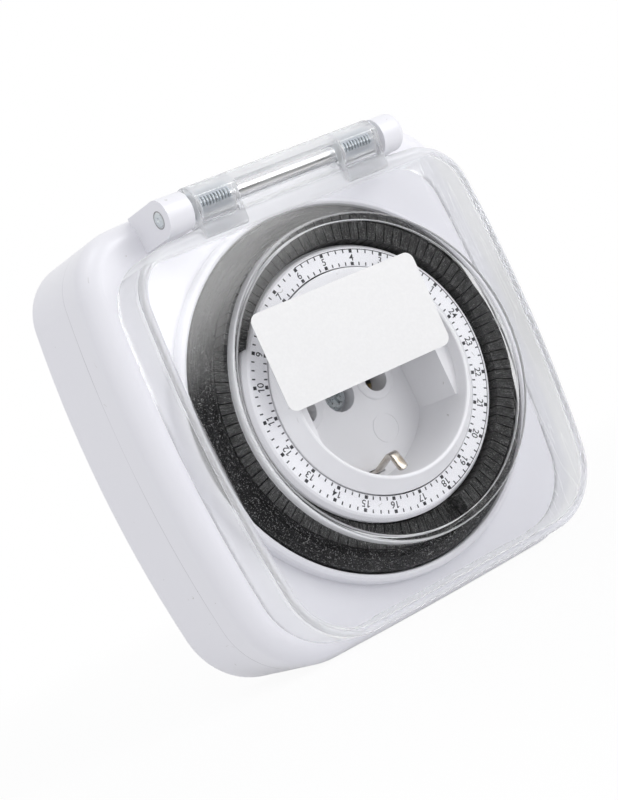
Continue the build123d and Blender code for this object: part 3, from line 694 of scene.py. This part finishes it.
def bowedLoop(s, inset):
    # rounded rectangle with bowed sides, drawn inwards by inset
    side = (s["half"] - s["sideBow"], s["wide"])
    top = (0.0, s["top"] - s["topBow"])
    low = (0.0, s["low"] + s["lowBow"])
    topCorner = crossing(side, s["sideBow"] - s["topCorner"], top, s["topBow"] - s["topCorner"], False)
    lowCorner = crossing(side, s["sideBow"] - s["lowCorner"], low, s["lowBow"] - s["lowCorner"], True)

    def heading(start, end):
        return math.atan2(end[1] - start[1], end[0] - start[0])
    runs = [
        (low, s["lowBow"], -math.pi / 2, heading(low, lowCorner), 8),
        (lowCorner, s["lowCorner"], heading(low, lowCorner), heading(side, lowCorner), 14),
        (side, s["sideBow"], heading(side, lowCorner), heading(side, topCorner), 18),
        (topCorner, s["topCorner"], heading(side, topCorner), heading(top, topCorner), 14),
        (top, s["topBow"], heading(top, topCorner), math.pi / 2, 8),
    ]
    right = []
    for centre, radius, start, end, steps in runs:
        for k in range(steps):
            a = start + (end - start) * k / steps
            reach = radius - inset
            right.append((centre[0] + reach * math.cos(a), centre[1] + reach * math.sin(a)))
    right.append((0.0, s["top"] - inset))
    return right + [(-x, z) for x, z in reversed(right[1:-1])]


def lidRings(s):
    # the lid's skin from the inside of its rim over the boss to the outside of its rim
    angles = [math.atan2(z, x) for x, z in bowedLoop(s, s["edge"])]

    def flat(inset, y):
        return [(x, y, z) for x, z in bowedLoop(s, inset)]

    def circle(inset, y):
        reach = s["bossRadius"] - inset
        return [(reach * math.cos(a), y, reach * math.sin(a)) for a in angles]

    def corner(ring, inset, y, size, steps):
        # quarter round from the side to the front
        turns = [math.pi / 2 * k / steps for k in range(steps + 1)]
        return [ring(inset + size * (1 - math.cos(t)), y + size * (1 - math.sin(t))) for t in turns]
    inner = s["front"] + s["wall"]
    innerBoss = s["bossFront"] + s["wall"]
    outside = [flat(0.0, s["base"])] + corner(flat, 0.0, s["front"], s["edge"], 6)
    outside += [circle(-out, s["front"] + ahead) for out, ahead in s["bossFoot"]]
    outside += corner(circle, 0.0, s["bossFront"], s["bossEdge"], 6)
    inside = corner(circle, s["bossWall"], innerBoss, s["bossInnerEdge"], 4)[::-1]
    inside += [circle(s["bossWall"] - out, inner + ahead) for out, ahead in s["bossInnerFoot"]]
    inside += corner(flat, s["wall"], inner, s["innerEdge"], 4)[::-1] + [flat(s["wall"], s["base"])]
    return inside + outside


def collarTool(s):
    shape = bmesh.new()
    ring = roundOutline((0.0, 0.0), s["collar"], 180)
    loft(shape, [[(x, y, z) for x, z in ring] for y in (s["collarFront"], s["base"] + s["beyond"])])
    return keepMesh("tool", shape, None)


def tabOutline(s):
    # knuckle that runs down into its tab
    front, low = s["tabFront"], s["tabLow"]
    foot = [(front + back, low + up) for back, up in s["tabFoot"]] + [(s["front"] + s["tabRoot"], low)]
    return roundOutline(s["hinge"], s["knuckle"], 40, *s["tabTurn"]) + foot


def tubeOutline(s):
    # half tube over the top and the back of the rod
    outer = roundOutline(s["hinge"], s["knuckle"], 30, *s["tubeTurn"])
    inner = roundOutline(s["hinge"], s["knuckle"] - s["tubeWall"], 30, *s["tubeTurn"])
    return outer + inner[::-1]


def buildLid(s):
    shape = bmesh.new()
    loft(shape, lidRings(s))
    lid = keepMesh("clearLid", shape, finishes["clear_lid"])
    first, last = s["knuckleEnds"]
    inner = s["front"] + s["wall"]
    rim = s["base"] + s["beyond"]
    carve(lid, blockTool(-last, last, inner, rim, *s["open"]), "DIFFERENCE")
    carve(lid, collarTool(s), "DIFFERENCE")
    carve(lid, blockTool(-last, last, s["front"], inner, s["panelLow"], s["panelTop"]), "UNION")
    for side in (-1, 1):
        x0, x1 = sorted((side * first, side * last))
        carve(lid, barTool(tabOutline(s), x0, x1, s["tabSoft"]), "UNION")
    into = first + s["tubeInto"]
    carve(lid, barTool(tubeOutline(s), -into, into), "UNION")
    slotLow, slotTop = (s["low"] + z for z in s["slotSpan"])
    for side in (-1, 1):
        x0, x1 = sorted((side * (first + s["cheek"]), side * (last - s["cheek"])))
        carve(lid, barTool(roundOutline(s["hinge"], s["springBore"]), x0, x1), "DIFFERENCE")
        x0, x1 = (side * s["slotAt"] + half for half in (-s["slotHalf"], s["slotHalf"]))
        carve(lid, blockTool(x0, x1, s["base"] - s["slotDeep"], rim, slotLow, slotTop), "DIFFERENCE")
    bore = roundOutline(s["hinge"], s["rodBore"], 32)
    carve(lid, barTool(bore, -last - s["beyond"], last + s["beyond"]), "DIFFERENCE")
    lid.data.shade_smooth()
    lid.data.set_sharp_from_angle(angle=math.radians(32))
    modifier = lid.modifiers.new("weighted", "WEIGHTED_NORMAL")
    modifier.keep_sharp = True
    settled(lid)
    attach(lid, "lid")
    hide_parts("lid")
    return lid


clearLid = buildLid(lidShape)
print("lid built:", len(clearLid.data.polygons), "faces")


# printed scale of the dial
scale = {
    "faceY": -53.5,
    "firstHour": 12.3,
    "marks": 96,
    "innerRow": 24.35,
    "outerRow": 27.0,
    "tickLength": 0.72,
    "tickWidth": 0.27,
    "squareSize": 0.72,
    "printDepth": 0.02,
    "digitHeight": 1.5,
    "digitBold": 0.012,
    "digitStep": 0.98,
    "capital": 0.73,  # height of a digit at size one
    "flag": 0.2,
    "flagLine": [(0.0, 0.0), (0.0, -0.85), (-1.0, -1.5), (-1.0, -0.75)],
    "digitRow": 25.68,
    "hourTurn": 15.0,
    "nightArc": 27.42,
    "nightFrom": 18,
    "arcWidth": 0.16,
    "ink": (0.035, 0.035, 0.04),
    "worn": (0.35, 0.35, 0.37),
    "wear": 0.2,
}


def printInk(s):
    material, tree, surface = newMaterial("printInk", s["ink"], 0.5)
    thin = noise(tree, coords(tree), 2600.0)
    feed(tree, surface, Base_Color=mixColor(
        tree, ramp(tree, thin, 0.55, 0.75, 0.0, s["wear"]), (*s["ink"], 1), (*s["worn"], 1)))
    return material


ink = printInk(scale)


def geometryTree(name, inputs):
    tree = bpy.data.node_groups.new(name, "GeometryNodeTree")
    tree.interface.new_socket("Geometry", in_out="INPUT", socket_type="NodeSocketGeometry")
    kinds = {float: "NodeSocketFloat", int: "NodeSocketInt"}
    for socket, value in inputs.items():
        kind = kinds.get(type(value), "NodeSocketMaterial")
        made = tree.interface.new_socket(socket, in_out="INPUT", socket_type=kind)
        if type(value) in kinds:
            made.default_value = value
    tree.interface.new_socket("Geometry", in_out="OUTPUT", socket_type="NodeSocketGeometry")
    return tree, put(tree, "NodeGroupInput").outputs, put(tree, "NodeGroupOutput")


def grown(name, tree, values):
    # runs a geometry tree with the given inputs and keeps the result as a plain mesh
    holder = addObject(name, bpy.data.meshes.new(name))
    modifier = holder.modifiers.new("grow", "NODES")
    modifier.node_group = tree
    for item in tree.interface.items_tree:
        if item.in_out == "INPUT" and item.name in values:
            modifier[item.identifier] = values[item.name]
    settled(holder)
    return holder


def scaleTree():
    # marks round a circle: a bar at each, and a square at each fourth
    tree, given, out = geometryTree("scaleMarks", {
        "Marks": 96, "Row": 24.0, "Tick Length": 0.6, "Tick Width": 0.2, "Square": 0.6, "Depth": 0.02,
        "Start": 0.0, "Height": 0.0, "Ink": None})
    index = put(tree, "GeometryNodeInputIndex").outputs[0]
    step = calc(tree, "DIVIDE", 2 * math.pi, given["Marks"])
    angle = calc(tree, "ADD", times(tree, index, step), given["Start"])
    x = times(tree, calc(tree, "COSINE", angle), given["Row"])
    z = times(tree, calc(tree, "SINE", angle), given["Row"])
    points = feed(tree, put(tree, "GeometryNodePoints"), Count=given["Marks"])
    spots = put(tree, "GeometryNodeSetPosition")
    feed(tree, spots, Geometry=points.outputs[0], Position=vector(tree, X=x, Y=given["Height"], Z=z))
    hour = put(tree, "FunctionNodeCompare", data_type="FLOAT", operation="LESS_THAN")
    feed(tree, hour, _0=calc(tree, "MODULO", index, 4.0), _1=0.5)
    between = feed(tree, put(tree, "FunctionNodeBooleanMath", operation="NOT"), _0=hour.outputs[0])
    spin = put(tree, "FunctionNodeEulerToRotation")
    feed(tree, spin, Euler=vector(tree, Y=times(tree, angle, -1.0)))
    joined = put(tree, "GeometryNodeJoinGeometry")
    for first, second, chosen in (("Tick Length", "Tick Width", between), ("Square", "Square", hour)):
        mark = put(tree, "GeometryNodeMeshCube")
        feed(tree, mark, Size=vector(tree, X=given[first], Y=given["Depth"], Z=given[second]))
        spread = put(tree, "GeometryNodeInstanceOnPoints")
        feed(tree, spread, Points=spots.outputs[0], Selection=chosen.outputs[0])
        feed(tree, spread, Instance=mark.outputs[0], Rotation=spin.outputs[0])
        tree.links.new(spread.outputs[0], joined.inputs[0])
    real = feed(tree, put(tree, "GeometryNodeRealizeInstances"), Geometry=joined.outputs[0])
    inked = put(tree, "GeometryNodeSetMaterial")
    feed(tree, inked, Geometry=real.outputs[0], Material=given["Ink"])
    feed(tree, out, Geometry=inked.outputs[0])
    return tree


def printScale(settings):
    tree = scaleTree()
    for name, row in (("innerMarks", "innerRow"), ("outerMarks", "outerRow")):
        marks = grown(name, tree, {
            "Marks": settings["marks"], "Row": settings[row] * mm, "Tick Length": settings["tickLength"] * mm,
            "Tick Width": settings["tickWidth"] * mm, "Square": settings["squareSize"] * mm,
            "Depth": settings["printDepth"] * mm, "Start": math.radians(settings["firstHour"]),
            "Height": (settings["faceY"] - 0.5 * settings["printDepth"]) * mm, "Ink": ink})
        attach(marks, "dial")


def digitMeshes(settings):
    # one mesh for each digit, its middle at the origin, with a flag on the one
    made = {}
    size = settings["digitHeight"] * mm
    thick = 0.5 * settings["printDepth"] * mm
    for digit in "0123456789":
        text = bpy.data.curves.new("digits", "FONT")
        text.body = digit
        text.size = size / settings["capital"]
        text.extrude = thick
        text.offset = settings["digitBold"] * mm
        holder = addObject("digits", text)
        mesh = finalMesh(holder)
        bpy.data.objects.remove(holder)
        xs = [v.co.x for v in mesh.vertices]
        ys = [v.co.y for v in mesh.vertices]
        middle = Vector((0.5 * (min(xs) + max(xs)), 0.5 * (min(ys) + max(ys)), 0.0))
        if digit == "1":
            reach = settings["flag"] * size
            flag = [(min(xs) + x * reach, max(ys) + y * reach) for x, y in settings["flagLine"]]
            shape = bmesh.new()
            shape.from_mesh(mesh)
            loft(shape, [[(x, y, z) for x, y in flag] for z in (-thick, thick)])
            bmesh.ops.recalc_face_normals(shape, faces=shape.faces)
            shape.to_mesh(mesh)
            shape.free()
        mesh.transform(Matrix.Translation(-middle))
        made[digit] = mesh
    return made


def printNumbers(settings):
    shape = bmesh.new()
    made = digitMeshes(settings)
    front = Vector((0.0, -1.0, 0.0))
    ahead = (-settings["faceY"] + 0.5 * settings["printDepth"]) * mm
    for hour in range(1, 25):
        angle = math.radians(settings["firstHour"] + hour * settings["hourTurn"])
        out = Vector((math.cos(angle), 0.0, math.sin(angle)))
        side = Vector((math.sin(angle), 0.0, -math.cos(angle)))
        turn = Matrix((side, out, front)).transposed().to_4x4()
        place = Matrix.Translation(out * (settings["digitRow"] * mm) + front * ahead) @ turn
        word = str(hour)
        for k, digit in enumerate(word):
            copy = made[digit].copy()
            along = (k - 0.5 * (len(word) - 1)) * settings["digitStep"] * mm
            copy.transform(place @ Matrix.Translation((along, 0.0, 0.0)))
            shape.from_mesh(copy)
            bpy.data.meshes.remove(copy)
    numbers = addObject("hourNumbers", newMesh("hourNumbers", shape, ink))
    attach(numbers, "dial")


def printNightArc(settings):
    # line that joins the outer marks from 18 over 24 to 6
    first = settings["firstHour"] + settings["nightFrom"] * settings["hourTurn"]
    face, front = settings["faceY"], settings["faceY"] - settings["printDepth"]
    near, far = (settings["nightArc"] + half * settings["arcWidth"] for half in (-0.5, 0.5))
    rings = []
    steps = 144
    for k in range(steps + 1):
        angle = math.radians(first + 180.0 * k / steps)
        x, z = mm * math.cos(angle), mm * math.sin(angle)
        corners = ((near, front), (far, front), (far, face), (near, face))
        rings.append([(reach * x, y * mm, reach * z) for reach, y in corners])
    shape = bmesh.new()
    loft(shape, rings)
    bmesh.ops.recalc_face_normals(shape, faces=shape.faces)
    arc = addObject("nightArc", newMesh("nightArc", shape, ink))
    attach(arc, "dial")


printScale(scale)
printNumbers(scale)
printNightArc(scale)
print("dial printed")

# springs of round wire, each round a dark cylinder that is painted shade of the bore behind the turns
coilShape = {
    "radius": 2.65, "wire": 0.23, "shadeCore": 2.28, "shadeCoreInset": 0.25, "turns": 9.5, "length": 7.2, "from": 14.5,
}
# dark teal of that cylinder: painted shade inside the springs
springShade = plastic("springShade", (0.10, 0.135, 0.145), 0.5)


def coilTree():
    tree, given, out = geometryTree("coil", {
        "Radius": 0.0026, "Wire": 0.0003, "Turns": 9.5, "Length": 0.007, "Metal": None})
    line = put(tree, "GeometryNodeCurveSpiral")
    feed(tree, line, Resolution=40, Rotations=given["Turns"], Height=given["Length"])
    feed(tree, line, Start_Radius=given["Radius"], End_Radius=given["Radius"])
    ring = put(tree, "GeometryNodeCurvePrimitiveCircle")
    feed(tree, ring, Resolution=14, Radius=given["Wire"])
    wire = put(tree, "GeometryNodeCurveToMesh")
    feed(tree, wire, Curve=line.outputs[0], Profile_Curve=ring.outputs[0], Fill_Caps=True)
    smooth = feed(tree, put(tree, "GeometryNodeSetShadeSmooth"), Geometry=wire.outputs[0])
    inked = put(tree, "GeometryNodeSetMaterial")
    feed(tree, inked, Geometry=smooth.outputs[0], Material=given["Metal"])
    feed(tree, out, Geometry=inked.outputs[0])
    return tree


def windSprings(s):
    tree = coilTree()
    y, z = lidShape["hinge"]
    for side, node in ((-1, "spring_left"), (1, "spring_right")):
        coil = grown(node.replace("spring_", "coil"), tree, {
            "Radius": s["radius"] * mm, "Wire": s["wire"] * mm, "Turns": s["turns"], "Length": s["length"] * mm,
            "Metal": finishes["spring_steel"]})
        start = s["from"] if side > 0 else -s["from"] - s["length"]
        place = Matrix.Translation((start * mm, y * mm, z * mm))
        coil.data.transform(place @ Matrix.Rotation(math.pi / 2, 4, "Y"))
        ends = (start + s["shadeCoreInset"], start + s["length"] - s["shadeCoreInset"])
        # dark cylinder inside the coil, painted shade of the bore seen between the turns
        shape = bmesh.new()
        loft(shape, [[(x, a, b) for a, b in roundOutline((y, z), s["shadeCore"], 40)] for x in ends])
        shadeCore = keepMesh("shadeCore", shape, springShade)
        both = bmesh.new()
        both.from_mesh(coil.data)
        known = len(both.faces)
        both.from_mesh(shadeCore.data)
        both.faces.ensure_lookup_table()
        for face in both.faces[known:]:
            face.material_index = 1
        both.to_mesh(coil.data)
        both.free()
        coil.data.materials.append(springShade)
        bpy.data.objects.remove(shadeCore)
        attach(coil, "housing")
        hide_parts(node)


windSprings(coilShape)

# earth clips: bent strips, wide at the floor and narrow where the plug meets them
clipShape = {
    "path": [(-35.0, 13.0), (-35.0, 17.7), (-41.6, 17.7), (-49.4, 15.0), (-50.9, 18.6)],
    "bends": [0.8, 1.4, 0.9], "thick": 0.7, "wide": 4.6, "narrow": 2.3, "centre": -0.6, "tip": 0.5,
    "piece": 0.7, "tipSteps": (0.35, 0.65, 0.88, 0.98), "narrowFrom": -39.6, "narrowOver": 3.2, "soft": 0.16,
}


def bentPath(points, bends, steps=7):
    # polyline with rounded corners
    path = [Vector(points[0])]
    for k, bend in enumerate(bends):
        before, at, after = (Vector(p) for p in points[k:k + 3])
        start = at + (before - at).normalized() * bend
        end = at + (after - at).normalized() * bend
        for i in range(steps + 1):
            t = i / steps
            path.append(start * (1 - t) ** 2 + at * 2 * t * (1 - t) + end * t ** 2)
    return path + [Vector(points[-1])]


def clipPath(s):
    # the bent path in short pieces, with the steps of its rounded tip
    path = bentPath(s["path"], s["bends"])
    whole = [path[0]]
    for near, far in zip(path, path[1:]):
        pieces = max(1, int((far - near).length / s["piece"]))
        whole += [near.lerp(far, (i + 1) / pieces) for i in range(pieces)]
    last = whole[-1]
    toTip = (last - whole[-2]).normalized()
    return whole + [last + toTip * s["tip"] * f for f in s["tipSteps"]], last, toTip


def bendClips(s):
    shape = bmesh.new()
    whole, last, toTip = clipPath(s)
    thick, soft = 0.5 * s["thick"], s["soft"]
    for side in (-1, 1):
        rings = []
        for i, point in enumerate(whole):
            ahead = (whole[min(i + 1, len(whole) - 1)] - whole[max(i - 1, 0)]).normalized()
            share = min(1.0, max(0.0, (s["narrowFrom"] - point.x) / s["narrowOver"]))
            share = share * share * (3 - 2 * share)
            half = 0.5 * (s["wide"] + (s["narrow"] - s["wide"]) * share)
            beyond = max(0.0, (point - last).dot(toTip)) / s["tip"]
            half *= math.sqrt(max(0.02, 1 - beyond ** 2)) if beyond else 1.0
            corners = [(half - soft, thick), (half - 0.3 * soft, thick - 0.3 * soft), (half, thick - soft)]
            ring = corners + [(a, -b) for a, b in reversed(corners)]
            ring += [(-a, b) for a, b in reversed(ring)]
            rings.append([
                (-side * s["centre"] + a, point.x - ahead.y * b, side * (point.y + ahead.x * b)) for a, b in ring])
        loft(shape, rings)
    clips = keepMesh("earthClipStrips", shape, finishes["clip_nickel"], 40.0)
    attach(clips, "housing")
    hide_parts("earth_clips")


bendClips(clipShape)

# rod end: a cut face with a soft edge, in a shallow grey groove whose grey is painted shade of the gap round the rod
rodShape = {"end": -30.1, "radius": 1.6, "chamfer": 0.22, "dimple": 0.55, "shadeRing": 1.78, "proud": 0.16, "lip": 0.03}


def hingeRings(start, profile):
    # rings round the hinge line, each from a radius and a depth
    rounds = [(roundOutline(lidShape["hinge"], reach, 48), depth) for reach, depth in profile]
    return [[(start + depth, y, z) for y, z in ring] for ring, depth in rounds]


def endRod(s):
    radius, chamfer, dimple, around = (s[key] for key in ("radius", "chamfer", "dimple", "shadeRing"))
    shape = bmesh.new()
    loft(shape, hingeRings(s["end"] - s["proud"], [
        (0.02, 0.18), (dimple * 0.6, 0.12), (dimple, 0.0),
        (radius - chamfer, 0.0), (radius - 0.06, chamfer * 0.7), (radius, chamfer + 0.2)]))
    cap = keepMesh("rodEnd", shape, finishes["zinc"], 25.0)
    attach(cap, "housing")
    # grey groove round the rod end, painted shade of the gap between rod and bracket
    shape = bmesh.new()
    loft(shape, hingeRings(s["end"] - s["lip"], [
        (radius + 0.01, 0.02), (around - 0.1, 0.02), (around - 0.05, -0.03),
        (around + 0.04, -0.03), (around + 0.1, 0.02)]), closeEnds=False)
    shadeRing = keepMesh("rodShadeRing", shape, finishes["grey_plastic"], 25.0)
    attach(shadeRing, "housing")


endRod(rodShape)
print("metal parts made")

# soft edges on the plain blocks
edges = {"tappets": 0.08, "segments": 2, "angle": 35.0, "weld": 0.001}


def softEdge(node, width):
    weld = node.modifiers.new("weld", "WELD")
    weld.merge_threshold = edges["weld"] * mm
    bevel = node.modifiers.new("bevel", "BEVEL")
    bevel.width = width * mm
    bevel.segments = edges["segments"]
    bevel.limit_method = "ANGLE"
    bevel.angle_limit = math.radians(edges["angle"])
    bevel.harden_normals = True


for name, node in nodes.items():
    if name.startswith("tappets_"):
        softEdge(node, edges["tappets"])
print("edges softened")
